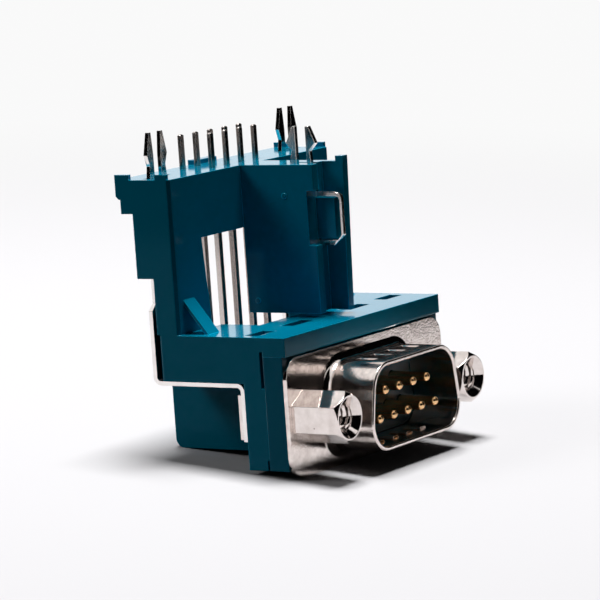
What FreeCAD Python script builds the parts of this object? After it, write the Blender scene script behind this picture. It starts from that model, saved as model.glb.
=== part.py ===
import FreeCAD, Part
import math
import os

# Nine-way right-angle D-subminiature pin connector on a raised, moulded board housing.
# Drawn with the board side up, as photographed. One STEP file for each separate piece, in millimetres.
# Drawing frame: origin on the flange's front face at the centre of the D, X to the right seen from
# the mating side, Y backwards, Z up towards the board. Every piece is then moved so that the origin
# is at the centre of the base of the whole connector.

# Mating interface
PIN_PITCH = 2.77
ROW_PITCH = 2.84
LONG_ROW = 5
SHORT_ROW = LONG_ROW - 1
D_END = 2.92
D_WIDTH = (LONG_ROW - 1) * PIN_PITCH + 2 * D_END
D_HEIGHT = 8.36
D_SIDE_ANGLE = 10.0
D_CORNER_R = 2.6
SCREW_MARGIN = 8.07
SCREW_X = (D_WIDTH + SCREW_MARGIN) / 2

# Front shell, one drawn stamping
SHEET = 0.45
EAR = 2.91
FLANGE_HALF_WIDTH = SCREW_X + EAR
FLANGE_MARGIN = 2.095
FLANGE_HALF_HEIGHT = D_HEIGHT / 2 + FLANGE_MARGIN
FLANGE_CORNER_R = 2.2
FLANGE_HOLE_R = 1.55
SHROUD_LENGTH = 5.95
SHROUD_BASE_R = 0.8
RIM_CHAMFER = 0.12
DIMPLE_DEPTH = 0.2
DIMPLE_WIDTH = 0.9
DIMPLE_LENGTH = 2.2
DIMPLE_SLOPE = 0.25
DIMPLE_SETBACK = 1.65
DIMPLE_X = [(number - (SHORT_ROW - 1) / 2) * PIN_PITCH for number in range(SHORT_ROW)]

# Front insulator
INSULATOR_REAR_Y = 2.75
INSULATOR_NOSE_Y = -0.4
INSULATOR_NOSE_GAP = 0.05
BODY_LIFT = 0.925
BODY_BOTTOM_Z = BODY_LIFT - FLANGE_HALF_HEIGHT
PIN_R = 0.5
PIN_BORE_GAP = 0.05

# Contacts
PIN_REACH = 4.98
PIN_NOSE_R = 0.27
PIN_NOSE_LENGTH = 0.35
WIRE = 0.6
WIRE_BEND_R = 1.0
WIRE_GAP = 0.05
TAIL_CHAMFER = 0.12
TAIL_THINNING = 0.2

# Housing: wall behind the insulator, ledge over the flange and the blocks behind it
BODY_HALF_WIDTH = FLANGE_HALF_WIDTH
WALL_REAR_Y = 5.3
LEDGE_GAP = 0.225
LEDGE_THICK = 2.0
LEDGE_BOTTOM_Z = FLANGE_HALF_HEIGHT + LEDGE_GAP
LEDGE_TOP_Z = LEDGE_BOTTOM_Z + LEDGE_THICK
DECK_REAR_Y = 8.1
SIDE_DECK_INSET = 4.9
SIDE_DECK_INNER_X = SCREW_X - SIDE_DECK_INSET
TOWER_INSET = 3.195
TOWER_INNER_X = SCREW_X - TOWER_INSET
BLOCK_REAR_Y = 15.6
BLOCK_DROP = 4.85
BLOCK_BOTTOM_Z = LEDGE_TOP_Z - BLOCK_DROP
BLOCK_ROUND = 0.4
LOWER_INSET = 0.05
LOWER_HALF_WIDTH = TOWER_INNER_X - LOWER_INSET
LOWER_REAR_Y = 18.7
LOWER_LIFT = 1.675
LOWER_BOTTOM_Z = LOWER_LIFT - FLANGE_HALF_HEIGHT
LOWER_ROUND = 1.0
SIDE_SLOT_DEPTH = 1.2
SIDE_SLOT_REAR_Y = 3.15
SIDE_SLOT_LIFT = 0.5
SIDE_SLOT_TOP_Z = LEDGE_BOTTOM_Z + SIDE_SLOT_LIFT
SIDE_SLOT_LENGTH = 3.8
FOOT_NOTCH_REAR_Y = 3.0
FOOT_NOTCH_HEIGHT = 1.05
POCKET_Y = (3.9, 5.5)
POCKET_DEPTH = 2.5
OUTER_POCKET_IN = 1.6
OUTER_POCKET_OUT = 1.8
OUTER_POCKET_X = (SCREW_X - OUTER_POCKET_IN, SCREW_X + OUTER_POCKET_OUT)
INNER_POCKET_FAR = 8.9
INNER_POCKET_NEAR = 4.9
INNER_POCKET_X = (SCREW_X - INNER_POCKET_FAR, SCREW_X - INNER_POCKET_NEAR)
STUD_HOLE_R = 1.55

# Housing: towers, bridge and centre partition, heights from the ledge's top
TOWER_FRONT_Y = 12.9
TOWER_LOW_REAR_Y = 15.7
TOWER_REAR_Y = 17.75
TOWER_HEIGHT = 16.25
TOP_Z = LEDGE_TOP_Z + TOWER_HEIGHT
TOWER_STEP_HEIGHT = 5.9
TOWER_STEP_Z = LEDGE_TOP_Z + TOWER_STEP_HEIGHT
OVERHANG_DROP = 3.55
OVERHANG_Z = TOP_Z - OVERHANG_DROP
OVERHANG_Y = 19.2
LIP_DROP = 2.05
LIP_Z = TOP_Z - LIP_DROP
LIP_Y = 19.75
LIP_CHAMFER = 0.35
SEAT_HEIGHT = 0.55
SEAT_Z = TOP_Z + SEAT_HEIGHT
TOWER_EDGE = 0.35
BRIDGE_DEPTH = 6.65
BRIDGE_BOTTOM_Z = TOP_Z - BRIDGE_DEPTH
WINDOW_DRAFT = 0.9
STRUT_IN = 0.2
STRUT_OUT = 1.8
STRUT_X = (SCREW_X - STRUT_IN, SCREW_X + STRUT_OUT)
STRUT_HEIGHT = 3.57
STRUT_TOP_Z = LEDGE_TOP_Z + STRUT_HEIGHT
STRUT_REACH = 2.91
STRUT_FOOT_Y = TOWER_FRONT_Y - STRUT_REACH
STRUT_DROP = 0.45
PARTITION_HALF = 2.2
PARTITION_GAP = 0.45
PARTITION_BOTTOM_Z = LEDGE_TOP_Z + PARTITION_GAP
PARTITION_FRONT_Y = 3.85
CHANNEL_X = (-1.1, 1.2)
CHANNEL_FLOOR_Y = 4.7
CATCH_BOTTOM_DROP = 8.55
CATCH_TOP_DROP = 2.75
CATCH_Z = (TOP_Z - CATCH_BOTTOM_DROP, TOP_Z - CATCH_TOP_DROP)
RAIL_TOP_Y = 2.1
RAIL_BOTTOM_Y = 2.5
RAIL_PAD_REAR_Y = 3.0
HOOK_BLOCK_HALF = 0.5
HOOK_BLOCK_FRONT_Y = 2.4
HOOK_BLOCK_BOTTOM_DROP = 8.0
HOOK_BLOCK_TOP_DROP = 3.65
HOOK_BLOCK_Z = (TOP_Z - HOOK_BLOCK_BOTTOM_DROP, TOP_Z - HOOK_BLOCK_TOP_DROP)
DOT_R = 0.3
DOT_HEIGHT = 0.1
HIGH_DOT_Y = 7.5
HIGH_DOT_DROP = 3.3
LOW_DOT_Y = 11.68
LOW_DOT_RISE = 1.74
DOTS_YZ = ((HIGH_DOT_Y, TOP_Z - HIGH_DOT_DROP), (LOW_DOT_Y, LEDGE_TOP_Z + LOW_DOT_RISE))
PAD_THICK = 0.5
REAR_PAD_FRONT_Y = 18.0
FRONT_PAD_REAR_Y = 14.66
CENTRE_PAD_HALF = 1.9
CENTRE_PAD_FRONT_Y = 18.6

# Tails: their rows and their height above the board seat
LONG_ROW_TAIL_Y = 17.8
SHORT_ROW_TAIL_Y = 14.96
TAIL_REACH = 3.15
TAIL_TOP_Z = SEAT_Z + TAIL_REACH

# Ground straps with their board forks
STRAP = 0.45
STRAP_HALF = 2.9
STRAP_X = (SCREW_X - STRAP_HALF, SCREW_X + STRAP_HALF)
STRAP_NECK_HALF = 2.12
STRAP_NECK_X = (SCREW_X - STRAP_NECK_HALF, SCREW_X + STRAP_NECK_HALF)
STRAP_WIDE_RISE = 2.5
STRAP_WIDE_Z = LEDGE_TOP_Z + STRAP_WIDE_RISE
STRAP_NECK_Z = STRAP_WIDE_Z + STRAP_HALF - STRAP_NECK_HALF
STRAP_Y = 16.15
STRAP_LEG_BOTTOM_Z = -2.43
STRAP_BEND_R = 0.9
STRAP_HOLE_R = 1.6
STRAP_SLOT_GAP = 0.05
FORK_REACH = 4.2
FORK_TIP_Z = SEAT_Z + FORK_REACH
FORK_SLIT_DROP = 4.35
FORK_SLIT_Z = TOP_Z - FORK_SLIT_DROP
FORK_SLIT_HALF = 0.66
FORK_BASE_HALF = 1.55
FORK_WAIST_HALF = 1.38
WAIST_RISE = 0.7
WAIST_Z = SEAT_Z + WAIST_RISE
FORK_HOOK_HALF = 1.8
FORK_HOOK_RISE = 1.85
FORK_HOOK_Z = SEAT_Z + FORK_HOOK_RISE
FORK_TIP_HALF = 1.22
FORK_TIP_INNER = 0.88
FORK_SHOULDER_DROP = 1.35
FORK_SHOULDER_Z = TOP_Z - FORK_SHOULDER_DROP

# Centre board lock
LOCK_THICK = 0.5
LOCK_SLOT_GAP = 0.05
LOCK_REAR_Y = 7.7
LOCK_FRONT_Y = 5.1
LOCK_FOOT_DROP = 0.75
LOCK_BOTTOM_Z = HOOK_BLOCK_Z[0] - LOCK_FOOT_DROP
LOCK_REACH = 3.3
LOCK_TIP_Z = SEAT_Z + LOCK_REACH
LOCK_HOOK = 0.42
LOCK_FRONT_HOOK = 0.68
LOCK_HOOK_RISE = 1.5
LOCK_HOOK_Z = SEAT_Z + LOCK_HOOK_RISE
LOCK_WAIST = 0.25
LOCK_TIP_REAR = 0.5
LOCK_TIP_FRONT = 0.1
LOCK_SLIT_Y = (5.62, 6.9)
LOCK_SLIT_DROP = 6.15
LOCK_SLIT_Z = TOP_Z - LOCK_SLIT_DROP
LOOP_FRONT_Y = 1.65
LOOP_STRIP = 0.32
LOOP_GAP = 0.05
LOOP_UNDER_Z = HOOK_BLOCK_Z[1] + LOOP_GAP
LOOP_TOP_Z = LOOP_UNDER_Z + LOCK_THICK
LOOP_LOW_GAP = 0.15
LOOP_LOW_TOP_Z = HOOK_BLOCK_Z[0] - LOOP_LOW_GAP
LOOP_CHAMFER = 1.1
LOOP_ROUND = 0.9
LOOP_INNER_ROUND = 0.45

# Jackposts and the square nuts behind them
HEX_FLATS = 4.76
HEX_LENGTH = 5.52
HEX_NOSE_R = 2.33
HEX_NOSE_LENGTH = 0.45
TAP_R = 1.15
TAP_END_Y = -0.6
TAP_SINK_R = 1.55
TAP_SINK_DEPTH = 0.4
STUD_R = 1.4
NUT_HALF = 2.35
NUT_THICK = 0.75
NUT_REAR_Y = WALL_REAR_Y + STRAP + NUT_THICK
STUD_TAIL = 0.6
STUD_REAR_Y = NUT_REAR_Y + STUD_TAIL

EPS = 1.0e-6
EDGE_TOLERANCE = 0.002
OVERRUN = 1.0
DATUM = FreeCAD.Vector(0, (SHROUD_LENGTH - LIP_Y) / 2, FLANGE_HALF_HEIGHT)
ALONG_X = FreeCAD.Vector(1, 0, 0)
ALONG_Y = FreeCAD.Vector(0, 1, 0)
ALONG_Z = FreeCAD.Vector(0, 0, 1)


def block(x_range, y_range, z_range):
    """Return a box between three pairs of limits."""
    corner = FreeCAD.Vector(x_range[0], y_range[0], z_range[0])
    length = x_range[1] - x_range[0]
    width = y_range[1] - y_range[0]
    height = z_range[1] - z_range[0]
    return Part.makeBox(length, width, height, corner)


def slab(points, along):
    """Return the prism of a closed outline swept by a vector."""
    outline = Part.makePolygon(points + [points[0]])
    return Part.Face(outline).extrude(along)


def side_profile(pairs, x_range):
    """Return a prism of (y, z) outline points between two X limits."""
    points = [FreeCAD.Vector(x_range[0], y, z) for y, z in pairs]
    return slab(points, ALONG_X * (x_range[1] - x_range[0]))


def front_profile(pairs, y_range):
    """Return a prism of (x, z) outline points between two Y limits."""
    points = [FreeCAD.Vector(x, y_range[0], z) for x, z in pairs]
    return slab(points, ALONG_Y * (y_range[1] - y_range[0]))


def rod(x, z, radius, y_range):
    """Return a cylinder along Y."""
    start = FreeCAD.Vector(x, y_range[0], z)
    return Part.makeCylinder(radius, y_range[1] - y_range[0], start, ALONG_Y)


def joined(shapes):
    """Return one clean solid made of overlapping or touching shapes."""
    return shapes[0].multiFuse(shapes[1:]).removeSplitter()


def mirrored(shape):
    """Return the shape reflected to the other side of the connector."""
    return shape.mirror(FreeCAD.Vector(0, 0, 0), ALONG_X)


def both_sides(shape):
    """Return the shape and its reflection."""
    return [shape, mirrored(shape)]


def edges_at(shape, axis, value, x_limit):
    """Return the edges that lie wholly in the plane axis = value, within |x| of the limit."""
    found = []
    for edge in shape.Edges:
        box = edge.BoundBox
        low = getattr(box, axis + "Min")
        high = getattr(box, axis + "Max")
        if abs(low - value) > EDGE_TOLERANCE or abs(high - value) > EDGE_TOLERANCE:
            continue
        if max(abs(box.XMin), abs(box.XMax)) < x_limit:
            found.append(edge)
    return found


def straight_edges(shape, direction, near):
    """Return straight edges along a direction whose middle passes through one of the near points.

    A near point is a (first, second) pair of the two coordinates across the direction.
    """
    found = []
    for edge in shape.Edges:
        if edge.Curve.TypeId != "Part::GeomLine":
            continue
        vector = edge.Vertexes[1].Point - edge.Vertexes[0].Point
        if vector.normalize().cross(direction).Length > EDGE_TOLERANCE:
            continue
        middle = edge.CenterOfMass
        across = [middle.x, middle.y, middle.z]
        across.pop([direction.x, direction.y, direction.z].index(max(direction)))
        for first, second in near:
            if abs(across[0] - first) < EDGE_TOLERANCE and abs(across[1] - second) < EDGE_TOLERANCE:
                found.append(edge)
    return found


def d_prism(grow, y_range):
    """Return a prism of the D outline, grown outwards by a distance."""
    slope = math.tan(math.radians(D_SIDE_ANGLE))
    lean = 1 / math.cos(math.radians(D_SIDE_ANGLE))
    middle = D_WIDTH / 2 - (D_HEIGHT / 2 - D_CORNER_R) * slope + D_CORNER_R * (lean - 1) + grow * lean
    half_height = D_HEIGHT / 2 + grow
    wide = middle + half_height * slope
    narrow = middle - half_height * slope
    corners = [(-wide, -half_height), (wide, -half_height), (narrow, half_height), (-narrow, half_height)]
    prism = front_profile(corners, y_range)
    return prism.makeFillet(D_CORNER_R + grow, straight_edges(prism, ALONG_Y, corners))


def front_shell():
    """Return the plated steel shell: flange, drawn D shroud and grip dimples."""
    half_w = FLANGE_HALF_WIDTH
    half_h = FLANGE_HALF_HEIGHT
    plate = block((-half_w, half_w), (0, SHEET), (-half_h, half_h))
    corners = [(x, z) for x in (-half_w, half_w) for z in (-half_h, half_h)]
    plate = plate.makeFillet(FLANGE_CORNER_R, straight_edges(plate, ALONG_Y, corners))
    shell = joined([plate, d_prism(SHEET, (-SHROUD_LENGTH, SHEET))])
    shell = shell.cut(d_prism(0, (-SHROUD_LENGTH - OVERRUN, SHEET + OVERRUN)))
    shell = shell.makeFillet(SHROUD_BASE_R, edges_at(shell, "Y", 0, SCREW_X))
    shell = shell.makeChamfer(RIM_CHAMFER, edges_at(shell, "Y", -SHROUD_LENGTH, SCREW_X))
    pressed = []
    hollows = []
    for side in (-1, 1):
        for x in DIMPLE_X:
            pressed.append(dimple(x, side, D_HEIGHT / 2 + SHEET / 2, SHEET / 2 + DIMPLE_DEPTH, SHEET))
            hollows.append(dimple(x, side, D_HEIGHT / 2 + SHEET, DIMPLE_DEPTH, 0))
    shell = shell.multiFuse(pressed).cut(hollows[0].multiFuse(hollows[1:]))
    for x in (-SCREW_X, SCREW_X):
        shell = shell.cut(rod(x, 0, FLANGE_HOLE_R, (-OVERRUN, SHEET + OVERRUN)))
    return shell.removeSplitter()


def dimple(x, side, mouth, depth, grow):
    """Return the tapered plug of one grip dimple, from its mouth height inwards, grown all round."""
    half = DIMPLE_WIDTH / 2 + grow / 2
    rear = -DIMPLE_SETBACK + grow / 2
    front = -DIMPLE_SETBACK - DIMPLE_LENGTH - grow / 2
    slope = DIMPLE_SLOPE
    rings = []
    for inset, z in ((0, side * mouth), (slope, side * (mouth - depth))):
        left = x - half + inset
        right = x + half - inset
        near = front + inset
        far = rear - inset
        corners = [(left, near), (right, near), (right, far), (left, far), (left, near)]
        rings.append(Part.makePolygon([FreeCAD.Vector(px, py, z) for px, py in corners]))
    return Part.makeLoft(rings, True, True)


def contact_places():
    """Return (x, z, tail y) of each contact, long row first, each row from left to right."""
    low_row = (LONG_ROW, -ROW_PITCH / 2, LONG_ROW_TAIL_Y)
    high_row = (SHORT_ROW, ROW_PITCH / 2, SHORT_ROW_TAIL_Y)
    places = []
    for count, z, tail_y in (low_row, high_row):
        for number in range(count):
            places.append(((number - (count - 1) / 2) * PIN_PITCH, z, tail_y))
    return places


def contact(x, z, tail_y):
    """Return one contact: round pin with a tapered nose and square wire bent up to the board."""
    half = WIRE / 2
    pin = rod(x, z, PIN_R, (PIN_NOSE_LENGTH - PIN_REACH, INSULATOR_REAR_Y))
    nose = Part.makeCone(PIN_NOSE_R, PIN_R, PIN_NOSE_LENGTH, FreeCAD.Vector(x, -PIN_REACH, z), ALONG_Y)
    thin_y = tail_y - half + TAIL_THINNING
    thin_z = TOP_Z - PAD_THICK
    bend = [
        (INSULATOR_REAR_Y, z - half), (tail_y + half, z - half), (tail_y + half, TAIL_TOP_Z),
        (thin_y, TAIL_TOP_Z), (thin_y, thin_z), (tail_y - half, thin_z), (tail_y - half, z + half),
        (INSULATOR_REAR_Y, z + half),
    ]
    wire = side_profile(bend, (x - half, x + half))
    wire = wire.makeFillet(WIRE_BEND_R, straight_edges(wire, ALONG_X, [(tail_y + half, z - half)]))
    wire = wire.makeChamfer(TAIL_CHAMFER, edges_at(wire, "Z", TAIL_TOP_Z, D_WIDTH))
    return joined([pin, nose, wire])


def front_insulator():
    """Return the insulator plate with its D-shaped nose and contact bores."""
    half = BODY_HALF_WIDTH
    plate = block((-half, half), (SHEET, INSULATOR_REAR_Y), (BODY_BOTTOM_Z, LEDGE_BOTTOM_Z))
    nose = d_prism(-INSULATOR_NOSE_GAP, (INSULATOR_NOSE_Y, SHEET))
    body = joined([plate, nose])
    bore_y = (INSULATOR_NOSE_Y - OVERRUN, INSULATOR_REAR_Y + OVERRUN)
    for x, z, _ in contact_places():
        body = body.cut(rod(x, z, PIN_R + PIN_BORE_GAP, bore_y))
    for x in (-SCREW_X, SCREW_X):
        body = body.cut(rod(x, 0, STUD_HOLE_R, (0, INSULATOR_REAR_Y + OVERRUN)))
    return body


def housing_side():
    """Return the solids of one side of the housing: block, tower, strut and board pads."""
    across = (TOWER_INNER_X, BODY_HALF_WIDTH)
    lump = block(across, (WALL_REAR_Y, BLOCK_REAR_Y), (BLOCK_BOTTOM_Z, LEDGE_TOP_Z))
    lump = lump.makeFillet(BLOCK_ROUND, straight_edges(lump, ALONG_Z, [(BODY_HALF_WIDTH, BLOCK_REAR_Y)]))
    tower = side_profile(rear_profile(LEDGE_TOP_Z), across)
    tower = tower.makeChamfer(TOWER_EDGE, straight_edges(tower, ALONG_Z, [(BODY_HALF_WIDTH, TOWER_FRONT_Y)]))
    strut_points = [
        (TOWER_FRONT_Y, STRUT_TOP_Z), (STRUT_FOOT_Y, LEDGE_TOP_Z),
        (STRUT_FOOT_Y + STRUT_DROP, LEDGE_TOP_Z), (TOWER_FRONT_Y, STRUT_TOP_Z - STRUT_DROP),
    ]
    strut = side_profile(strut_points, STRUT_X)
    edge = (BODY_HALF_WIDTH - PAD_THICK, BODY_HALF_WIDTH)
    rear_pad = block(edge, (REAR_PAD_FRONT_Y, LIP_Y), (TOP_Z, SEAT_Z))
    front_pad = block(edge, (TOWER_FRONT_Y + TOWER_EDGE, FRONT_PAD_REAR_Y), (TOP_Z, SEAT_Z))
    return [lump, tower, strut, rear_pad, front_pad]


def rear_profile(bottom_z):
    """Return the (y, z) outline shared by the towers and, from its own height, the bridge."""
    if bottom_z < TOWER_STEP_Z:
        low = [(TOWER_REAR_Y, TOWER_STEP_Z), (TOWER_LOW_REAR_Y, TOWER_STEP_Z), (TOWER_LOW_REAR_Y, bottom_z)]
    else:
        low = [(TOWER_REAR_Y, bottom_z)]
    high = [
        (TOWER_FRONT_Y, bottom_z), (TOWER_FRONT_Y, TOP_Z), (LIP_Y, TOP_Z), (LIP_Y, LIP_Z + LIP_CHAMFER),
        (LIP_Y - LIP_CHAMFER, LIP_Z), (OVERHANG_Y, LIP_Z), (OVERHANG_Y, OVERHANG_Z),
        (TOWER_REAR_Y, OVERHANG_Z),
    ]
    return high + low


def partition():
    """Return the centre partition with its channel, guide rail and board lock block."""
    height = (PARTITION_BOTTOM_Z, TOP_Z)
    wall = block((-PARTITION_HALF, PARTITION_HALF), (PARTITION_FRONT_Y, TOWER_FRONT_Y), height)
    rail_points = [
        (PARTITION_FRONT_Y, PARTITION_BOTTOM_Z), (PARTITION_FRONT_Y, TOP_Z),
        (RAIL_TOP_Y, TOP_Z), (RAIL_BOTTOM_Y, PARTITION_BOTTOM_Z),
    ]
    rail = side_profile(rail_points, (CHANNEL_X[1], PARTITION_HALF))
    rail_pad = block((CHANNEL_X[1], PARTITION_HALF), (RAIL_TOP_Y, RAIL_PAD_REAR_Y), (TOP_Z, SEAT_Z))
    channel = block(CHANNEL_X, (PARTITION_FRONT_Y - OVERRUN, CHANNEL_FLOOR_Y), (0, SEAT_Z + OVERRUN))
    notch_x = (-PARTITION_HALF - OVERRUN, CHANNEL_X[1])
    notch = block(notch_x, (PARTITION_FRONT_Y - OVERRUN, CHANNEL_FLOOR_Y), CATCH_Z)
    hook_x = (-HOOK_BLOCK_HALF, HOOK_BLOCK_HALF)
    hook_block = block(hook_x, (HOOK_BLOCK_FRONT_Y, CHANNEL_FLOOR_Y), HOOK_BLOCK_Z)
    body = joined([wall, rail, rail_pad]).cut(channel).cut(notch)
    dots = []
    for y, z in DOTS_YZ:
        start = FreeCAD.Vector(-PARTITION_HALF - DOT_HEIGHT, y, z)
        dots.append(Part.makeCylinder(DOT_R, 2 * (PARTITION_HALF + DOT_HEIGHT), start, ALONG_X))
    return joined([body, hook_block] + dots)


def lock_slot():
    """Return the space that the centre board lock takes in the partition."""
    half = LOCK_THICK / 2 + LOCK_SLOT_GAP
    depth = (CHANNEL_FLOOR_Y - OVERRUN / 2, LOCK_REAR_Y)
    return block((-half, half), depth, (LOCK_BOTTOM_Z, TOP_Z + OVERRUN))


def window_draft():
    """Return the wedge that opens one side of the window towards its top."""
    points = [
        (TOWER_INNER_X - OVERRUN, LEDGE_TOP_Z), (TOWER_INNER_X, LEDGE_TOP_Z),
        (TOWER_INNER_X + WINDOW_DRAFT, BRIDGE_BOTTOM_Z), (TOWER_INNER_X - OVERRUN, BRIDGE_BOTTOM_Z),
    ]
    return front_profile(points, (TOWER_FRONT_Y - OVERRUN, TOWER_LOW_REAR_Y))


def wire_space(x, z, tail_y):
    """Return the room for one contact's wire: tunnel, riser and hole through the bridge."""
    half = WIRE / 2 + WIRE_GAP
    across = (x - half, x + half)
    tunnel = block(across, (0, tail_y + half), (z - half, z + half))
    riser = block(across, (tail_y - half, tail_y + half), (z - half, SEAT_Z + OVERRUN))
    return tunnel.fuse(riser)


def housing():
    """Return the moulded housing: wall, ledge, blocks, towers, bridge and partition in one piece."""
    half = BODY_HALF_WIDTH
    wall = block((-half, half), (INSULATOR_REAR_Y, WALL_REAR_Y), (BODY_BOTTOM_Z, LEDGE_TOP_Z))
    ledge = block((-half, half), (0, DECK_REAR_Y), (LEDGE_BOTTOM_Z, LEDGE_TOP_Z))
    side_decks = both_sides(
        block((SIDE_DECK_INNER_X, half), (DECK_REAR_Y, TOWER_FRONT_Y), (LEDGE_BOTTOM_Z, LEDGE_TOP_Z))
    )
    lower_x = (-LOWER_HALF_WIDTH, LOWER_HALF_WIDTH)
    lower = block(lower_x, (WALL_REAR_Y, LOWER_REAR_Y), (LOWER_BOTTOM_Z, BLOCK_BOTTOM_Z))
    lower = lower.makeFillet(LOWER_ROUND, straight_edges(lower, ALONG_X, [(LOWER_REAR_Y, LOWER_BOTTOM_Z)]))
    bridge = side_profile(rear_profile(BRIDGE_BOTTOM_Z), (-TOWER_INNER_X, TOWER_INNER_X))
    centre_x = (-CENTRE_PAD_HALF, CENTRE_PAD_HALF)
    centre_pad = block(centre_x, (CENTRE_PAD_FRONT_Y, LIP_Y), (TOP_Z, SEAT_Z))
    right_side = housing_side()
    left_side = [mirrored(shape) for shape in right_side]
    middle = [wall, ledge, lower, bridge, centre_pad, partition()]
    body = joined(middle + side_decks + right_side + left_side)
    cuts = [lock_slot()] + both_sides(window_draft())
    for place in contact_places():
        cuts.append(wire_space(*place))
    for pocket_x in (OUTER_POCKET_X, INNER_POCKET_X):
        pocket = block(pocket_x, POCKET_Y, (LEDGE_TOP_Z - POCKET_DEPTH, LEDGE_TOP_Z + OVERRUN))
        cuts.extend(both_sides(pocket))
    slot_x = (half - SIDE_SLOT_DEPTH, half + OVERRUN)
    slot_z = (SIDE_SLOT_TOP_Z - SIDE_SLOT_LENGTH, SIDE_SLOT_TOP_Z)
    cuts.extend(both_sides(block(slot_x, (INSULATOR_REAR_Y, SIDE_SLOT_REAR_Y), slot_z)))
    foot_z = (BODY_BOTTOM_Z - OVERRUN, BODY_BOTTOM_Z + FOOT_NOTCH_HEIGHT)
    cuts.extend(both_sides(block(slot_x, (INSULATOR_REAR_Y, FOOT_NOTCH_REAR_Y), foot_z)))
    cuts.extend(both_sides(rod(SCREW_X, 0, STUD_HOLE_R, (0, WALL_REAR_Y + OVERRUN))))
    gap = STRAP_SLOT_GAP
    neck_x = (STRAP_NECK_X[0] - gap, STRAP_NECK_X[1] + gap)
    slot = block(neck_x, (STRAP_Y - gap, STRAP_Y + STRAP + gap), (TOWER_STEP_Z - OVERRUN, SEAT_Z + OVERRUN))
    cuts.extend(both_sides(slot))
    return body.cut(cuts[0].multiFuse(cuts[1:])).removeSplitter()


def ground_strap():
    """Return the right ground strap: screw leg, run under the block, riser and board fork."""
    rear = STRAP_Y + STRAP
    under = BLOCK_BOTTOM_Z - STRAP
    leg_rear = WALL_REAR_Y + STRAP
    path = [
        (WALL_REAR_Y, STRAP_LEG_BOTTOM_Z), (leg_rear, STRAP_LEG_BOTTOM_Z), (leg_rear, under), (rear, under),
        (rear, STRAP_WIDE_Z), (STRAP_Y, STRAP_WIDE_Z), (STRAP_Y, BLOCK_BOTTOM_Z),
        (WALL_REAR_Y, BLOCK_BOTTOM_Z),
    ]
    strip = side_profile(path, STRAP_X)
    outer = [(rear, under), (WALL_REAR_Y, BLOCK_BOTTOM_Z)]
    inner = [(STRAP_Y, BLOCK_BOTTOM_Z), (leg_rear, under)]
    strip = strip.makeFillet(STRAP_BEND_R, straight_edges(strip, ALONG_X, outer))
    strip = strip.makeFillet(STRAP_BEND_R - STRAP, straight_edges(strip, ALONG_X, inner))
    strip = strip.cut(rod(SCREW_X, 0, STRAP_HOLE_R, (WALL_REAR_Y - OVERRUN, leg_rear + OVERRUN)))
    return joined([strip, fork()])


def fork():
    """Return the strap's neck and the two spring prongs that grip the board hole."""
    left = [
        (STRAP_X[0], STRAP_WIDE_Z), (STRAP_NECK_X[0], STRAP_NECK_Z), (STRAP_NECK_X[0], FORK_SHOULDER_Z),
        (SCREW_X - FORK_BASE_HALF, FORK_SHOULDER_Z + STRAP), (SCREW_X - FORK_BASE_HALF, TOP_Z),
        (SCREW_X - FORK_WAIST_HALF, WAIST_Z), (SCREW_X - FORK_HOOK_HALF, FORK_HOOK_Z),
        (SCREW_X - FORK_TIP_HALF, FORK_TIP_Z), (SCREW_X - FORK_TIP_INNER, FORK_TIP_Z),
        (SCREW_X - FORK_SLIT_HALF, FORK_HOOK_Z), (SCREW_X - FORK_SLIT_HALF, FORK_SLIT_Z),
    ]
    right = [(2 * SCREW_X - x, z) for x, z in reversed(left)]
    return front_profile(left + right, (STRAP_Y, STRAP_Y + STRAP))


def centre_board_lock():
    """Return the centre lock: board fork and the loop clipped round the partition's block."""
    half = LOCK_THICK / 2
    body = [
        (LOCK_REAR_Y, LOCK_BOTTOM_Z), (LOCK_REAR_Y, TOP_Z), (LOCK_REAR_Y - LOCK_WAIST, WAIST_Z),
        (LOCK_REAR_Y + LOCK_HOOK, LOCK_HOOK_Z), (LOCK_REAR_Y - LOCK_TIP_REAR, LOCK_TIP_Z),
        (LOCK_SLIT_Y[1], LOCK_TIP_Z), (LOCK_SLIT_Y[1], LOCK_SLIT_Z), (LOCK_SLIT_Y[0], LOCK_SLIT_Z),
        (LOCK_SLIT_Y[0], LOCK_TIP_Z), (LOCK_FRONT_Y + LOCK_TIP_FRONT, LOCK_TIP_Z),
        (LOCK_FRONT_Y - LOCK_FRONT_HOOK, LOCK_HOOK_Z), (LOCK_FRONT_Y + LOCK_TIP_FRONT, WAIST_Z),
        (LOCK_FRONT_Y, TOP_Z), (LOCK_FRONT_Y, LOOP_TOP_Z), (LOOP_FRONT_Y, LOOP_TOP_Z),
        (LOOP_FRONT_Y, LOCK_BOTTOM_Z + LOOP_CHAMFER), (LOOP_FRONT_Y + LOOP_CHAMFER, LOCK_BOTTOM_Z),
    ]
    plate = side_profile(body, (-half, half))
    inner_front = LOOP_FRONT_Y + LOOP_STRIP
    eye = side_profile(
        [
            (inner_front, LOOP_LOW_TOP_Z + LOOP_INNER_ROUND), (inner_front, LOOP_UNDER_Z),
            (LOCK_FRONT_Y, LOOP_UNDER_Z), (LOCK_FRONT_Y, LOOP_LOW_TOP_Z),
            (inner_front + LOOP_INNER_ROUND, LOOP_LOW_TOP_Z),
        ],
        (-half, half),
    )
    plate = plate.makeFillet(LOOP_ROUND, straight_edges(plate, ALONG_X, [(LOOP_FRONT_Y, LOOP_TOP_Z)]))
    eye = eye.makeFillet(LOOP_INNER_ROUND, straight_edges(eye, ALONG_X, [(inner_front, LOOP_UNDER_Z)]))
    return plate.cut(eye)


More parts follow.
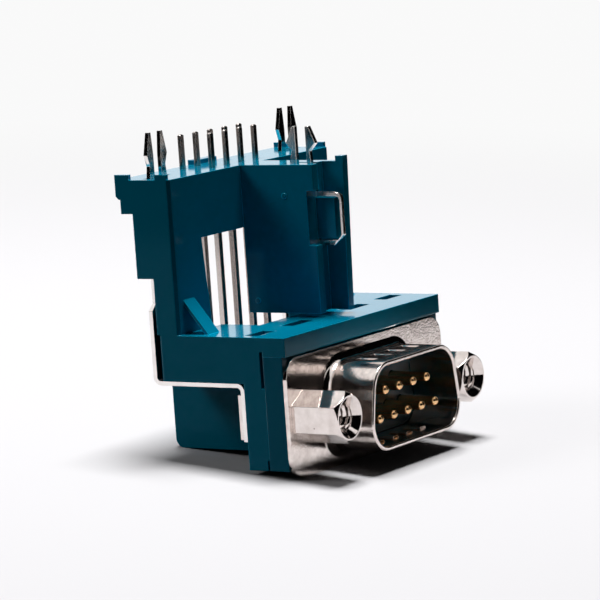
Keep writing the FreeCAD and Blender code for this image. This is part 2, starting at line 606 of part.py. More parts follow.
def standoff():
    """Return the right jackpost: tapped hexagon in front, plain-drawn threaded stud behind."""
    x = SCREW_X
    corner_r = HEX_FLATS / math.sqrt(3)
    angles = [math.radians(30 + 60 * step) for step in range(6)]
    outline = [(x + corner_r * math.cos(angle), corner_r * math.sin(angle)) for angle in angles]
    hexagon = front_profile(outline, (-HEX_LENGTH, 0))
    front = FreeCAD.Vector(x, -HEX_LENGTH, 0)
    nose = Part.makeCone(HEX_NOSE_R, corner_r + EPS, HEX_NOSE_LENGTH, front, ALONG_Y)
    rest = rod(x, 0, corner_r + EPS, (HEX_NOSE_LENGTH - HEX_LENGTH, 0))
    hexagon = hexagon.common(nose.fuse(rest))
    stud = rod(x, 0, STUD_R, (-OVERRUN / 2, STUD_REAR_Y))
    post = joined([hexagon, stud])
    post = post.cut(rod(x, 0, TAP_R, (-HEX_LENGTH - OVERRUN, TAP_END_Y)))
    return post.cut(Part.makeCone(TAP_SINK_R, TAP_R, TAP_SINK_DEPTH, front, ALONG_Y))


def nut_plate():
    """Return the right square nut behind the strap's leg."""
    x = SCREW_X
    front = WALL_REAR_Y + STRAP
    plate = block((x - NUT_HALF, x + NUT_HALF), (front, NUT_REAR_Y), (-NUT_HALF, NUT_HALF))
    return plate.cut(rod(x, 0, STUD_R, (front - OVERRUN, NUT_REAR_Y + OVERRUN)))


def main():
    """Make every piece, move it to the row's origin and write it out."""
    nodes = {
        "front_shell": front_shell(),
        "front_insulator": front_insulator(),
        "housing": housing(),
        "centre_board_lock": centre_board_lock(),
    }
    for number, place in enumerate(contact_places(), start=1):
        nodes[f"contact_{number}"] = contact(*place)
    for name, maker in (("ground_strap", ground_strap), ("standoff", standoff), ("nut_plate", nut_plate)):
        shape = maker()
        nodes[f"{name}_right"] = shape
        nodes[f"{name}_left"] = mirrored(shape)
    os.makedirs("parts", exist_ok=True)
    for name, shape in nodes.items():
        shape.translate(DATUM)
        shape.exportStep(f"parts/{name}.step")
        print(name, shape.isValid(), len(shape.Solids), round(shape.Volume, 3), shape.BoundBox)


main()
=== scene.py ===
import logging
import math
from collections.abc import Callable
from dataclasses import dataclass
from enum import Enum

import bmesh
import bpy
from mathutils import Matrix, Vector

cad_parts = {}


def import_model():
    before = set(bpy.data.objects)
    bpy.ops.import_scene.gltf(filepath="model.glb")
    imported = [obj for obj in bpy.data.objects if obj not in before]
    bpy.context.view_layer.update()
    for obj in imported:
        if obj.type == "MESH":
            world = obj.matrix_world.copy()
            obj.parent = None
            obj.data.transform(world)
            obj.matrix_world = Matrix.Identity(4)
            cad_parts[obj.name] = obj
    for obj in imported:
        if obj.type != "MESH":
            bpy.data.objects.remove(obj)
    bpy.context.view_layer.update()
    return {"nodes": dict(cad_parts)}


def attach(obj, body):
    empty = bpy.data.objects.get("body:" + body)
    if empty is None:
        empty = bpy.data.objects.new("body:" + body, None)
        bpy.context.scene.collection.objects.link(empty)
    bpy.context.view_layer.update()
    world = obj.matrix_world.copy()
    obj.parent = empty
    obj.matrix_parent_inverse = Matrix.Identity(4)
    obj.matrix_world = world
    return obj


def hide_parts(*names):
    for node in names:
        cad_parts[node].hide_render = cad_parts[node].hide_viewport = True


# Dresses the board connector: finishes for its solids, threaded jackposts and rounded pin noses,
# and the studio it stands in. Metres throughout, in the frame of the solids; names that end in _mm
# or _deg are in millimetres or degrees.

LOG = logging.getLogger("connector")
MM = 0.001
SHARP_DEG = 35.0
EDGE_SAMPLES = 8
WHITE = (1.0, 1.0, 1.0, 1.0)

# Detail of the noise patterns: the higher, the more broken their marks are.
SWELL_DETAIL = 1.0
SPECK_DETAIL = 2.0
GRAIN_DETAIL = 3.0
CLOUD_DETAIL = 4.0

# Axes of the two jackposts.
POST_X_MM = 12.495
POST_Z_MM = 6.275


class RayKind(Enum):
    """Kinds of ray that see the studio's surroundings as white."""

    CAMERA = "Is Camera Ray"
    GLOSSY = "Is Glossy Ray"
    TRANSMISSION = "Is Transmission Ray"


def linear(hex_colour: str) -> tuple[float, float, float, float]:
    """Turn an sRGB hex colour into linear values.

    Args:
        hex_colour: Six hex digits after a hash sign.

    Returns:
        Red, green, blue and an alpha of one.
    """
    parts = [int(hex_colour[i:i + 2], 16) / 255 for i in (1, 3, 5)]
    values = [c / 12.92 if c <= 0.04045 else ((c + 0.055) / 1.055) ** 2.4 for c in parts]
    return (values[0], values[1], values[2], 1.0)


def marks(size_mm: float, detail: float) -> dict[str, float]:
    """Give a pattern's scale and detail from the real size of its marks.

    Args:
        size_mm: Size of a mark.
        detail: How broken the marks are.

    Returns:
        Values by input name.
    """
    return {"Scale": 1 / (size_mm * MM), "Detail": detail}


def add_node(
    tree: bpy.types.NodeTree,
    kind: str,
    values: dict | None = None,
    links: dict | None = None,
    **settings: object,
) -> bpy.types.Node:
    """Add one shader node.

    Args:
        tree: The node tree it goes into.
        kind: The node's type name.
        values: Fixed values by input name or number.
        links: Source sockets by input name or number.
        settings: Attributes of the node itself.

    Returns:
        The new node.
    """
    node = tree.nodes.new(kind)
    for name, value in settings.items():
        setattr(node, name, value)
    for name, value in (values or {}).items():
        node.inputs[name].default_value = value
    for name, source in (links or {}).items():
        tree.links.new(source, node.inputs[name])
    return node


def new_material(name: str) -> tuple[bpy.types.Material, bpy.types.NodeTree, bpy.types.Node]:
    """Make an empty node material.

    Args:
        name: The material's name.

    Returns:
        The material, its tree and its output node.
    """
    material = bpy.data.materials.new(name)
    material.use_nodes = True
    tree = material.node_tree
    tree.nodes.clear()
    return material, tree, tree.nodes.new("ShaderNodeOutputMaterial")


def white_view(tree: bpy.types.NodeTree) -> tuple[bpy.types.NodeSocket, bpy.types.NodeSocket]:
    """Tell the rays that see the surroundings as white from those that carry light.

    A ray that has already left a matt surface carries light, also where it went by way of metal,
    so that bright metal doesn't fill the contact shadows.

    Args:
        tree: The node tree it goes into.

    Returns:
        A socket that is one where white is seen, and one that is one after a matt bounce.
    """
    seen = add_node(tree, "ShaderNodeLightPath")
    level = seen.outputs[RayKind.CAMERA.value]
    for kind in (RayKind.GLOSSY, RayKind.TRANSMISSION):
        level = add_node(
            tree, "ShaderNodeMath", links={0: level, 1: seen.outputs[kind.value]}, operation="MAXIMUM"
        ).outputs[0]
    bounced = add_node(
        tree, "ShaderNodeMath", {1: 1.0}, {0: seen.outputs["Diffuse Depth"]}, operation="MINIMUM"
    ).outputs[0]
    first = add_node(tree, "ShaderNodeMath", {0: 1.0}, {1: bounced}, operation="SUBTRACT").outputs[0]
    white = add_node(tree, "ShaderNodeMath", links={0: level, 1: first}, operation="MULTIPLY")
    return white.outputs[0], bounced


@dataclass(frozen=True)
class MouldedPlastic:
    """Glass-filled PBT polyester, injection moulded in a polished tool.

    To the eye: a deep saturated teal with a wet gloss, white only in glancing reflections, and
    thin bright lines on the moulded edges, which are a painted highlight: a paler colour mixed in
    where the rounded-edge normal turns from the face's own. The specks of the gloss are coarser
    than the real ones, so that they show.
    """

    name: str
    deep_hex: str
    pale_hex: str
    # Colour of the painted highlight along the moulded edges.
    edge_highlight_hex: str
    tint_hex: str
    roughness: float
    ior: float
    rough_span: float = 0.06
    flow_mm: float = 5.0
    speck_mm: float = 0.2
    speck_range: tuple[float, float] = (0.35, 0.75)
    ripple_mm: float = 1.6
    ripple_depth_mm: float = 0.02
    ripple_strength: float = 0.08
    edge_round_mm: float = 0.16
    # Where and how strongly the painted edge highlight shows, from how far the rounded-edge normal turns
    # from the face's own.
    edge_highlight_turn: tuple[float, float] = (0.995, 0.9)
    edge_highlight_share: float = 0.9

    def build(self) -> bpy.types.Material:
        """Build the plastic's node material."""
        material, tree, output = new_material(self.name)
        place = add_node(tree, "ShaderNodeTexCoord").outputs["Object"]
        flow = add_node(tree, "ShaderNodeTexNoise", marks(self.flow_mm, GRAIN_DETAIL), {"Vector": place})
        speck = add_node(tree, "ShaderNodeTexNoise", marks(self.speck_mm, SPECK_DETAIL), {"Vector": place})
        ripple = add_node(tree, "ShaderNodeTexNoise", marks(self.ripple_mm, SWELL_DETAIL), {"Vector": place})
        body = add_node(
            tree, "ShaderNodeMix", {"A": linear(self.deep_hex), "B": linear(self.pale_hex)},
            {"Factor": flow.outputs["Fac"]}, data_type="RGBA",
        )
        rounded = add_node(
            tree, "ShaderNodeBevel", {"Radius": self.edge_round_mm * MM}, samples=EDGE_SAMPLES
        )
        facing = add_node(tree, "ShaderNodeNewGeometry")
        agree = add_node(
            tree, "ShaderNodeVectorMath",
            links={0: rounded.outputs["Normal"], 1: facing.outputs["Normal"]}, operation="DOT_PRODUCT",
        )
        # Painted highlight: the edge colour goes where the rounded-edge normal turns away from the face's
        # own.
        edge = add_node(
            tree, "ShaderNodeMapRange",
            {"From Min": self.edge_highlight_turn[0], "From Max": self.edge_highlight_turn[1], "To Max": self.edge_highlight_share},
            {"Value": agree.outputs["Value"]},
        )
        # Base colour with the painted edge highlight mixed in.
        skin = add_node(
            tree, "ShaderNodeMix", {"B": linear(self.edge_highlight_hex)},
            {"Factor": edge.outputs["Result"], "A": body.outputs["Result"]}, data_type="RGBA",
        )
        bump = add_node(
            tree, "ShaderNodeBump",
            {"Strength": self.ripple_strength, "Distance": self.ripple_depth_mm * MM},
            {"Height": ripple.outputs["Fac"], "Normal": rounded.outputs["Normal"]},
        )
        gloss = add_node(
            tree, "ShaderNodeMapRange",
            {
                "From Min": self.speck_range[0],
                "From Max": self.speck_range[1],
                "To Min": self.roughness,
                "To Max": self.roughness + self.rough_span,
            },
            {"Value": speck.outputs["Fac"]},
        )
        shader = add_node(
            tree, "ShaderNodeBsdfPrincipled",
            {"IOR": self.ior, "Specular Tint": linear(self.tint_hex)},
            {
                "Base Color": skin.outputs["Result"],
                "Roughness": gloss.outputs["Result"],
                "Normal": bump.outputs["Normal"],
            },
        )
        tree.links.new(shader.outputs["BSDF"], output.inputs["Surface"])
        return material


@dataclass(frozen=True)
class PlatedMetal:
    """Plated steel or strip with fine pits, soft waves and a few dark specks.

    To the eye: a warm bright mirror, black where it faces the dark cards, broken by soft waves, fine
    pits and cloudy patches. Pits and specks are coarser than the real ones, so that they show. What
    lies in front of drawn_until_y_mm was drawn deeper and is a little more satin.
    """

    name: str
    bright_hex: str
    dull_hex: str
    roughness: float
    rough_span: float
    cloud_mm: float
    wave_mm: float
    wave_depth_mm: float
    pit_depth_mm: float
    pit_mm: float = 0.2
    cloud_range: tuple[float, float] = (0.35, 0.7)
    edge_round_mm: float = 0.1
    speck_hex: str = "#6A5E58"
    speck_gap_mm: float = 1.8
    speck_share: float = 0.06
    speck_strength: float = 0.8
    drawn_until_y_mm: float = -20.0
    drawn_roughness: float = 0.0

    def build(self) -> bpy.types.Material:
        """Build the metal's node material."""
        material, tree, output = new_material(self.name)
        place = add_node(tree, "ShaderNodeTexCoord").outputs["Object"]
        cloud = add_node(tree, "ShaderNodeTexNoise", marks(self.cloud_mm, CLOUD_DETAIL), {"Vector": place})
        wave = add_node(tree, "ShaderNodeTexNoise", marks(self.wave_mm, SWELL_DETAIL), {"Vector": place})
        pits = add_node(tree, "ShaderNodeTexNoise", marks(self.pit_mm, GRAIN_DETAIL), {"Vector": place})
        body = add_node(
            tree, "ShaderNodeMix", {"A": linear(self.bright_hex), "B": linear(self.dull_hex)},
            {"Factor": cloud.outputs["Fac"]}, data_type="RGBA",
        )
        specks = add_node(
            tree, "ShaderNodeTexVoronoi", {"Scale": 1 / (self.speck_gap_mm * MM)}, {"Vector": place}
        )
        speck = add_node(
            tree, "ShaderNodeMapRange",
            {
                "From Min": self.speck_share,
                "From Max": self.speck_share / 2,
                "To Max": self.speck_strength,
            },
            {"Value": specks.outputs["Distance"]},
        )
        skin = add_node(
            tree, "ShaderNodeMix", {"B": linear(self.speck_hex)},
            {"Factor": speck.outputs["Result"], "A": body.outputs["Result"]}, data_type="RGBA",
        )
        gloss = add_node(
            tree, "ShaderNodeMapRange",
            {
                "From Min": self.cloud_range[0],
                "From Max": self.cloud_range[1],
                "To Min": self.roughness,
                "To Max": self.roughness + self.rough_span,
            },
            {"Value": cloud.outputs["Fac"]},
        )
        along = add_node(tree, "ShaderNodeSeparateXYZ", links={"Vector": place})
        drawn = add_node(
            tree, "ShaderNodeMath", {1: self.drawn_until_y_mm * MM}, {0: along.outputs["Y"]},
            operation="LESS_THAN",
        )
        satin = add_node(
            tree, "ShaderNodeMath", {1: self.drawn_roughness},
            {0: drawn.outputs[0], 2: gloss.outputs["Result"]}, operation="MULTIPLY_ADD",
        )
        rounded = add_node(
            tree, "ShaderNodeBevel", {"Radius": self.edge_round_mm * MM}, samples=EDGE_SAMPLES
        )
        waves = add_node(
            tree, "ShaderNodeBump", {"Strength": 1.0, "Distance": self.wave_depth_mm * MM},
            {"Height": wave.outputs["Fac"], "Normal": rounded.outputs["Normal"]},
        )
        bump = add_node(
            tree, "ShaderNodeBump", {"Strength": 1.0, "Distance": self.pit_depth_mm * MM},
            {"Height": pits.outputs["Fac"], "Normal": waves.outputs["Normal"]},
        )
        shader = add_node(
            tree, "ShaderNodeBsdfPrincipled", {"Metallic": 1.0},
            {
                "Base Color": skin.outputs["Result"],
                "Roughness": satin.outputs[0],
                "Normal": bump.outputs["Normal"],
            },
        )
        tree.links.new(shader.outputs["BSDF"], output.inputs["Surface"])
        return material


@dataclass(frozen=True)
class ContactPlating:
    """Copper alloy contact, gold flashed on the round pin and tinned on the square wire.

    To the eye: warm gold sparks on the pins in the dark shroud, grey tin on the wires and tails.
    """

    name: str = "gold_flashed_and_tinned_contact"
    gold_hex: str = "#ECC08C"
    tin_hex: str = "#CDC4BF"
    gold_until_y_mm: float = -4.4
    roughness: float = 0.12
    rough_span: float = 0.12
    streak_mm: float = 0.25
    edge_round_mm: float = 0.08
    edge_samples: int = 6

    def build(self) -> bpy.types.Material:
        """Build the contact's node material."""
        material, tree, output = new_material(self.name)
        place = add_node(tree, "ShaderNodeTexCoord").outputs["Object"]
        parts = add_node(tree, "ShaderNodeSeparateXYZ", links={"Vector": place})
        behind = add_node(
            tree, "ShaderNodeMath", {1: self.gold_until_y_mm * MM}, {0: parts.outputs["Y"]},
            operation="GREATER_THAN",
        )
        streak = add_node(tree, "ShaderNodeTexNoise", marks(self.streak_mm, SPECK_DETAIL), {"Vector": place})
        body = add_node(
            tree, "ShaderNodeMix", {"A": linear(self.gold_hex), "B": linear(self.tin_hex)},
            {"Factor": behind.outputs[0]}, data_type="RGBA",
        )
        gloss = add_node(
            tree, "ShaderNodeMapRange",
            {"To Min": self.roughness, "To Max": self.roughness + self.rough_span},
            {"Value": streak.outputs["Fac"]},
        )
        rounded = add_node(
            tree, "ShaderNodeBevel", {"Radius": self.edge_round_mm * MM}, samples=self.edge_samples
        )
        shader = add_node(
            tree, "ShaderNodeBsdfPrincipled", {"Metallic": 1.0},
            {
                "Base Color": body.outputs["Result"],
                "Roughness": gloss.outputs["Result"],
                "Normal": rounded.outputs["Normal"],
            },
        )
        tree.links.new(shader.outputs["BSDF"], output.inputs["Surface"])
        return material


@dataclass(frozen=True)
class StudioPaper:
    """Matt white paper under the connector.

    To the eye: white, with the connector's soft shadow round it, and even white further off. Light
    that it throws back at the connector is dimmer, as in a room with dark walls.
    """

    name: str = "studio_paper"
    colour_hex: str = "#D4D3D5"
    bounce_hex: str = "#282829"
    far_strength: float = 0.95
    near_mm: float = 90.0
    far_mm: float = 260.0

    def build(self) -> bpy.types.Material:
        """Build the paper's node material."""
        material, tree, output = new_material(self.name)
        place = add_node(tree, "ShaderNodeTexCoord").outputs["Object"]
        away = add_node(tree, "ShaderNodeVectorMath", links={0: place}, operation="LENGTH")
        far = add_node(
            tree, "ShaderNodeMapRange", {"From Min": self.near_mm * MM, "From Max": self.far_mm * MM},
            {"Value": away.outputs["Value"]}, interpolation_type="SMOOTHSTEP",
        )
        white, bounced = white_view(tree)
        share = add_node(
            tree, "ShaderNodeMath", links={0: white, 1: far.outputs["Result"]}, operation="MULTIPLY"
        )
        tone = add_node(
            tree, "ShaderNodeMix", {"A": linear(self.colour_hex), "B": linear(self.bounce_hex)},
            {"Factor": bounced}, data_type="RGBA",
        )
        sheet = add_node(tree, "ShaderNodeBsdfDiffuse", links={"Color": tone.outputs["Result"]})
        glow = add_node(tree, "ShaderNodeEmission", {"Color": WHITE, "Strength": self.far_strength})
        both = add_node(
            tree, "ShaderNodeMixShader",
            links={0: share.outputs[0], 1: sheet.outputs["BSDF"], 2: glow.outputs["Emission"]},
        )
        tree.links.new(both.outputs["Shader"], output.inputs["Surface"])
        return material


@dataclass(frozen=True)
class BlackCloth:
    """Black felt on the studio's cards.

    To the eye: plain black in the metal's reflections. The camera doesn't see it.
    """

    name: str = "black_felt"
    colour_hex: str = "#050505"

    def build(self) -> bpy.types.Material:
        """Build the felt's node material."""
        material, tree, output = new_material(self.name)
        felt = add_node(tree, "ShaderNodeBsdfDiffuse", {"Color": linear(self.colour_hex)})
        tree.links.new(felt.outputs["BSDF"], output.inputs["Surface"])
        return material


Finish = MouldedPlastic | PlatedMetal | ContactPlating

# Housing: saturated glossy teal, with a painted cyan highlight along its edges.
TEAL_HOUSING = MouldedPlastic(
    "teal_pbt_moulded", deep_hex="#007A9A", pale_hex="#0086A6", edge_highlight_hex="#10C4EC", tint_hex="#00708C",
    roughness=0.08, ior=1.42,
)
# Insulator: the housing's teal painted a shade deeper as painted shade for the inside of the shroud, with a
# softer painted highlight along its edges.
TEAL_INSULATOR = MouldedPlastic(
    "teal_pbt_insulator", deep_hex="#006A86", pale_hex="#007492", edge_highlight_hex="#0090BC", tint_hex="#00708C",
    roughness=0.1, ior=1.42,
)
# Shell: warm nickel, pitted and wavy, more satin on the deep drawn shroud.
NICKEL_SHELL = PlatedMetal(
    "nickel_plated_drawn_steel", bright_hex="#FFF6F0", dull_hex="#BCAEA8", roughness=0.05,
    rough_span=0.08, cloud_mm=0.8, wave_mm=3.0, wave_depth_mm=0.01, pit_depth_mm=0.01,
    drawn_until_y_mm=-7.4, drawn_roughness=0.07,
)
# Jackposts and nuts: the smoothest mirror, with shallow waves.
NICKEL_POST = PlatedMetal(
    "nickel_plated_turned_steel", bright_hex="#F8F0EC", dull_hex="#C6BAB4", roughness=0.04,
    rough_span=0.08, cloud_mm=0.9, wave_mm=1.6, wave_depth_mm=0.01, pit_depth_mm=0.004,
)
# Ground straps: even pale tin with nearly sharp sheared edges.
TIN_STRAP = PlatedMetal(
    "tin_plated_strip", bright_hex="#F6F2EF", dull_hex="#E2DDD9", roughness=0.08, rough_span=0.1,
    cloud_mm=1.6, wave_mm=1.5, wave_depth_mm=0.006, pit_depth_mm=0.003, edge_round_mm=0.04,
)
# Centre fork: whiter satin tin with soft edges that catch the light.
SATIN_CLIP = PlatedMetal(
    "satin_tin_plated_clip", bright_hex="#FCF8F6", dull_hex="#EEE8E4", roughness=0.14, rough_span=0.08,
    cloud_mm=1.6, wave_mm=1.5, wave_depth_mm=0.004, pit_depth_mm=0.002, edge_round_mm=0.16,
)
# Contacts: gold on the pins, tin behind them.
CONTACT = ContactPlating()


def swept_ring(
    name: str,
    axis_mm: tuple[float, float],
    section: Callable[[float], list[tuple[float, float]]],
    steps: int,
) -> bpy.types.Object:
    """Sweep a closed section round an axis along Y.

    Args:
        name: The new piece's name.
        axis_mm: The axis, as X and Z.
        section: Gives the section's corners, as Y and radius in mm, at a share of a turn.
        steps: Number of sections in the whole turn.

    Returns:
        The new piece, smooth shaded.
    """
    points = []
    for step in range(steps):
        angle = math.tau * step / steps
        for y, radius in section(step / steps):
            x = axis_mm[0] + radius * math.cos(angle)
            z = axis_mm[1] + radius * math.sin(angle)
            points.append((x * MM, y * MM, z * MM))
    count = len(points) // steps
    faces = []
    for step in range(steps):
        here = step * count
        after = (step + 1) % steps * count
        for corner in range(count):
            following = (corner + 1) % count
            faces.append((here + corner, here + following, after + following, after + corner))
    mesh = bpy.data.meshes.new(name)
    mesh.from_pydata(points, [], faces)
    shape = bmesh.new()
    shape.from_mesh(mesh)
    bmesh.ops.recalc_face_normals(shape, faces=shape.faces)
    shape.to_mesh(mesh)
    shape.free()
    for face in mesh.polygons:
        face.use_smooth = True
    mesh.set_sharp_from_angle(angle=math.radians(SHARP_DEG))
    piece = bpy.data.objects.new(name, mesh)
    bpy.context.scene.collection.objects.link(piece)
    return piece


@dataclass(frozen=True)
class ContactTips:
    """Rounded gold noses of the nine contact pins.

    To the eye: a row of warm sparks, bright above and brown below, in the dark shroud.
    """

    pitch_mm: float = 2.77
    rows_mm: tuple[tuple[int, float], ...] = ((5, 4.855), (4, 7.695))
    base_y_mm: float = -11.53
    radius_mm: float = 0.505
    length_mm: float = 0.44
    bore_mm: float = 0.02
    arc_steps: int = 8
    turn_steps: int = 24

    def section(self, turn: float) -> list[tuple[float, float]]:
        """Give the nose's section, the same all round.

        Args:
            turn: Share of a turn, which doesn't change it.

        Returns:
            Corners as Y and radius in mm.
        """
        corners = [(self.base_y_mm, self.bore_mm)]
        for step in range(self.arc_steps):
            angle = math.radians(90 * step / self.arc_steps)
            y = self.base_y_mm - self.length_mm * math.sin(angle)
            corners.append((y, self.radius_mm * math.cos(angle)))
        corners.append((self.base_y_mm - self.length_mm, self.bore_mm))
        return corners

    def build(self, plating: bpy.types.Material) -> None:
        """Build the nine noses.

        Args:
            plating: The contacts' finish.
        """
        number = 1
        for count, z in self.rows_mm:
            for place in range(count):
                x = (place - (count - 1) / 2) * self.pitch_mm
                tip = swept_ring(f"contact_tip_{number}", (x, z), self.section, self.turn_steps)
                tip.data.materials.append(plating)
                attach(tip, "root")
                LOG.info("%s rounds the pin at x %.3f mm", tip.name, x)
                number += 1


@dataclass(frozen=True)
class FineThread:
    """The jackposts' thread, forty turns to the inch, cut or raised along a post's axis."""

    root_r_mm: float
    crest_r_mm: float
    pitch_mm: float = 0.635
    steps_per_pitch: int = 8

    def rise(self, along_mm: float, turn: float) -> float:
        """Give how far the thread stands up from its root.

        Args:
            along_mm: Distance from the thread's first turn, along the axis.
            turn: Share of a turn round the axis.

        Returns:
            From 0 at the root to 1 at the crest, fading in over the first turn.
        """
        phase = (along_mm / self.pitch_mm + turn) % 1.0
        return (1 - abs(2 * phase - 1)) * min(1.0, along_mm / self.pitch_mm)

    def corners(self, from_y_mm: float, to_y_mm: float, turn: float) -> list[tuple[float, float]]:
        """Give the thread's stretch of a section.

        Args:
            from_y_mm: Where the thread starts.
            to_y_mm: What it doesn't pass.
            turn: Share of a turn round the axis.

        Returns:
            Corners as Y and radius in mm.
        """
        step = self.pitch_mm / self.steps_per_pitch
        stretch = []
        for number in range(int((to_y_mm - from_y_mm) / step) + 1):
            along = number * step
            radius = self.root_r_mm + (self.crest_r_mm - self.root_r_mm) * self.rise(along, turn)
            stretch.append((from_y_mm + along, radius))
        return stretch


@dataclass(frozen=True)
class Jackpost:
    """One hexagonal jackpost with its coned mouth, tapped hole and rear stud.

    To the eye: a bright rim, a cone that turns from white to black, and bright crescents of thread
    one behind the other in the dark of the hole.
    """

    node: str
    axis_x_mm: float
    front_y_mm: float = -12.42
    seat_y_mm: float = -6.9
    rear_y_mm: float = 0.2
    flats_mm: float = 4.76
    side_deg: float = 60.0
    nose_r_mm: float = 2.33
    nose_length_mm: float = 0.45
    mouth_r_mm: float = 2.14
    mouth_depth_mm: float = 0.7
    hole_end_y_mm: float = -7.5
    stud_r_mm: float = 1.4
    core_r_mm: float = 0.02
    turn_steps: int = 96
    thread: FineThread = FineThread(root_r_mm=1.42, crest_r_mm=1.1)

    def section(self, turn: float) -> list[tuple[float, float]]:
        """Give the post's section at a share of a turn.

        Args:
            turn: Share of a turn.

        Returns:
            Corners as Y and radius in mm, from the stud's end to the hole's end.
        """
        half_side = self.side_deg / 2
        from_flat = (turn * 360 + half_side) % self.side_deg - half_side
        side_r = self.flats_mm / 2 / math.cos(math.radians(from_flat))
        corner_r = self.flats_mm / math.sqrt(3)
        share = (side_r - self.nose_r_mm) / (corner_r - self.nose_r_mm)
        first_y = self.front_y_mm + self.mouth_depth_mm
        corners = [
            (self.rear_y_mm, self.core_r_mm),
            (self.rear_y_mm, self.stud_r_mm),
            (self.seat_y_mm, self.stud_r_mm),
            (self.seat_y_mm, side_r),
            (self.front_y_mm + share * self.nose_length_mm, side_r),
            (self.front_y_mm, self.nose_r_mm),
            (self.front_y_mm, self.mouth_r_mm),
        ]
        corners += self.thread.corners(first_y, self.hole_end_y_mm, turn)
        corners.append((corners[-1][0], self.core_r_mm))
        return corners

    def build(self, plating: bpy.types.Material) -> None:
        """Build the post in the place of its plain solid.

        Args:
            plating: The jackpost's finish.
        """
        axis = (self.axis_x_mm, POST_Z_MM)
        post = swept_ring(f"{self.node}_threaded", axis, self.section, self.turn_steps)
        post.data.materials.append(plating)
        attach(post, "root")
        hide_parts(self.node)
        LOG.info("%s stands for %s with its thread cut", post.name, self.node)


@dataclass(frozen=True)
class StudThread:
    """Turns of the thread on one jackpost's stud, behind the nut.

    To the eye: fine bright rings on the stud's end.
    """

    name: str
    axis_x_mm: float
    from_y_mm: float = -0.38
    to_y_mm: float = 0.16
    hidden_r_mm: float = 1.38
    turn_steps: int = 48
    thread: FineThread = FineThread(root_r_mm=1.405, crest_r_mm=1.47)

    def section(self, turn: float) -> list[tuple[float, float]]:
        """Give the thread's section at a share of a turn.

        Args:
            turn: Share of a turn.

        Returns:
            Corners as Y and radius in mm.
        """
        corners = [(self.from_y_mm, self.hidden_r_mm)]
        corners += self.thread.corners(self.from_y_mm, self.to_y_mm, turn)
        corners.append((corners[-1][0], self.hidden_r_mm))
        return corners

    def build(self, plating: bpy.types.Material) -> None:
        """Build the thread's turns.

        Args:
            plating: The jackpost's finish.
        """
        turns = swept_ring(self.name, (self.axis_x_mm, POST_Z_MM), self.section, self.turn_steps)
        turns.data.materials.append(plating)
        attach(turns, "root")
        LOG.info("%s runs from y %.2f to %.2f mm", self.name, self.from_y_mm, self.to_y_mm)


JACKPOSTS = (Jackpost("standoff_left", -POST_X_MM), Jackpost("standoff_right", POST_X_MM))
STUD_THREADS = (StudThread("stud_thread_left", -POST_X_MM), StudThread("stud_thread_right", POST_X_MM))


@dataclass(frozen=True)
class Dressing:
    """Gives each solid of the frame its finish, by the start of its name."""

    finishes: dict[str, Finish]

    def dress(self, nodes: dict[str, bpy.types.Object]) -> dict[str, bpy.types.Material]:
        """Put the finishes on the solids.

        Args:
            nodes: The frame's objects by node name.

        Returns:
            The materials by name.
        """
        made = {}
        for name, node in nodes.items():
            key = next(k for k in self.finishes if name.startswith(k))
            finish = self.finishes[key]
            if finish.name not in made:
                made[finish.name] = finish.build()
            for slot in node.material_slots:
                slot.material = made[finish.name]
            LOG.info("%s wears %s", name, finish.name)
        return made


@dataclass(frozen=True)
class Card:
    """One black studio card facing the connector.

    Gloss sees it and the camera doesn't. One that blocks light also keeps the room's light off.
    """

    name: str
    azimuth_deg: float
    low_deg: float
    high_deg: float
    half_width_deg: float
    distance_m: float
    blocks_light: bool


@dataclass(frozen=True)
class SoftBox:
    """One soft square lamp."""

    name: str
    place_m: tuple[float, float, float]
    size_m: float
    power_w: float
    in_gloss: bool


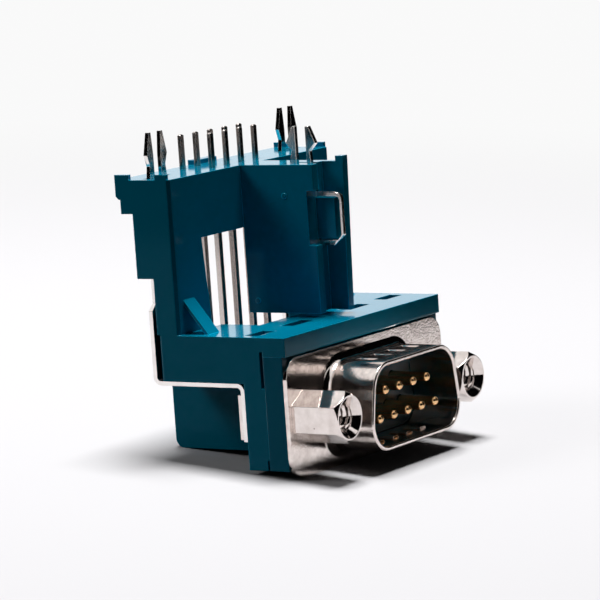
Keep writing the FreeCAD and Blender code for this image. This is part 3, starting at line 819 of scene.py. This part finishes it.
@dataclass(frozen=True)
class Studio:
    """Floor, lamps, cards, surroundings and camera of the photograph."""

    rest_tilt_deg: float = 5.53
    rest_edge_y_mm: float = -6.45
    floor_half_m: float = 3.0
    camera_place_mm: tuple[float, float, float] = (-313.155, -205.655, 66.487)
    camera_azimuth_deg: float = -56.586
    camera_elevation_deg: float = 7.619
    camera_roll_deg: float = -3.955
    camera_lens_mm: float = 213.444
    camera_sensor_mm: float = 36.0
    camera_near_m: float = 0.01
    camera_far_m: float = 20.0
    room_fill: float = 0.02
    lamp_aim_m: tuple[float, float, float] = (0.0, 0.0, 0.015)
    cards: tuple[Card, ...] = (
        Card("card_left_rear", 50.0, 0.0, 36.0, 40.0, 0.2, blocks_light=False),
        Card("card_front", 150.0, -5.0, 45.0, 40.0, 0.4, blocks_light=True),
        Card("card_right_front", -125.0, -5.0, 45.0, 40.0, 0.19, blocks_light=False),
    )
    lamps: tuple[SoftBox, ...] = (
        SoftBox("overhead", (0.055, 0.005, 0.55), 0.18, 4.35, in_gloss=True),
        SoftBox("left_rear", (-0.32, 0.32, 0.38), 0.2, 0.6, in_gloss=False),
    )

    def floor(self) -> None:
        """Lay the paper floor under the two edges that the connector rests on."""
        half = self.floor_half_m
        slope = math.tan(math.radians(self.rest_tilt_deg))
        edge = self.rest_edge_y_mm * MM
        corners = [(-half, -half), (half, -half), (half, half), (-half, half)]
        points = [(x, y, (y - edge) * slope) for x, y in corners]
        mesh = bpy.data.meshes.new("paper_floor")
        mesh.from_pydata(points, [], [(0, 1, 2, 3)])
        mesh.materials.append(StudioPaper().build())
        paper = bpy.data.objects.new("paper_floor", mesh)
        bpy.context.scene.collection.objects.link(paper)

    def card(self, card: Card, felt: bpy.types.Material) -> None:
        """Stand one card round the connector.

        Args:
            card: Its direction, span and distance; azimuth 0 is +Y and 90 is -X.
            felt: What it is covered with.
        """
        points = []
        for turn in (-1, 1):
            angle = math.radians(card.azimuth_deg + turn * card.half_width_deg)
            x = -math.sin(angle) * card.distance_m
            y = math.cos(angle) * card.distance_m
            for rise in (card.low_deg, card.high_deg):
                points.append((x, y, card.distance_m * math.tan(math.radians(rise))))
        mesh = bpy.data.meshes.new(card.name)
        mesh.from_pydata(points, [], [(0, 1, 3, 2)])
        mesh.materials.append(felt)
        sheet = bpy.data.objects.new(card.name, mesh)
        bpy.context.scene.collection.objects.link(sheet)
        sheet.visible_camera = False
        sheet.visible_diffuse = card.blocks_light
        sheet.visible_shadow = False

    def lamp(self, box: SoftBox) -> None:
        """Hang one soft square lamp.

        Args:
            box: Its place, size and power.
        """
        light = bpy.data.lights.new(box.name, "AREA")
        light.shape = "SQUARE"
        light.size = box.size_m
        light.energy = box.power_w
        aim = Vector(self.lamp_aim_m) - Vector(box.place_m)
        lamp = bpy.data.objects.new(box.name, light)
        lamp.location = box.place_m
        lamp.rotation_euler = aim.to_track_quat("-Z", "Y").to_euler()
        lamp.visible_glossy = box.in_gloss
        bpy.context.scene.collection.objects.link(lamp)

    def surroundings(self) -> None:
        """Make the white room: plain white to the camera and in gloss, dim as a light."""
        world = bpy.data.worlds.new("white_room")
        bpy.context.scene.world = world
        world.use_nodes = True
        tree = world.node_tree
        tree.nodes.clear()
        white, _ = white_view(tree)
        strength = add_node(
            tree, "ShaderNodeMapRange", {"To Min": self.room_fill, "To Max": 1.0}, {"Value": white}
        )
        room = add_node(
            tree, "ShaderNodeBackground", {"Color": WHITE}, {"Strength": strength.outputs["Result"]}
        )
        output = tree.nodes.new("ShaderNodeOutputWorld")
        tree.links.new(room.outputs["Background"], output.inputs["Surface"])

    def camera(self) -> None:
        """Set up the photograph's camera."""
        azimuth = math.radians(self.camera_azimuth_deg)
        elevation = math.radians(self.camera_elevation_deg)
        back = Vector((
            math.sin(azimuth) * math.cos(elevation),
            -math.cos(azimuth) * math.cos(elevation),
            math.sin(elevation),
        ))
        right = Vector((0.0, 0.0, 1.0)).cross(back).normalized()
        up = back.cross(right)
        turn = Matrix((right, up, back)).transposed().to_4x4()
        roll = Matrix.Rotation(math.radians(self.camera_roll_deg), 4, "Z")
        data = bpy.data.cameras.new("photo_camera")
        data.sensor_width = self.camera_sensor_mm
        data.lens = self.camera_lens_mm
        data.clip_start = self.camera_near_m
        data.clip_end = self.camera_far_m
        camera = bpy.data.objects.new("photo_camera", data)
        camera.matrix_world = Matrix.Translation(Vector(self.camera_place_mm) * MM) @ turn @ roll
        bpy.context.scene.collection.objects.link(camera)
        bpy.context.scene.camera = camera

    def build(self) -> None:
        """Build the whole studio."""
        self.floor()
        felt = BlackCloth().build()
        for card in self.cards:
            self.card(card, felt)
        for box in self.lamps:
            self.lamp(box)
        self.surroundings()
        self.camera()
        bpy.context.scene.view_settings.view_transform = "Standard"


def main() -> None:
    """Load the frame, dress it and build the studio."""
    logging.basicConfig(level=logging.INFO, format="%(message)s")
    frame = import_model()
    made = Dressing({
        "front_shell": NICKEL_SHELL,
        "front_insulator": TEAL_INSULATOR,
        "housing": TEAL_HOUSING,
        "contact": CONTACT,
        "standoff": NICKEL_POST,
        "nut_plate": NICKEL_POST,
        "ground_strap": TIN_STRAP,
        "centre_board_lock": SATIN_CLIP,
    }).dress(frame["nodes"])
    ContactTips().build(made[CONTACT.name])
    for threaded in JACKPOSTS + STUD_THREADS:
        threaded.build(made[NICKEL_POST.name])
    Studio().build()


if __name__ == "__main__":
    main()
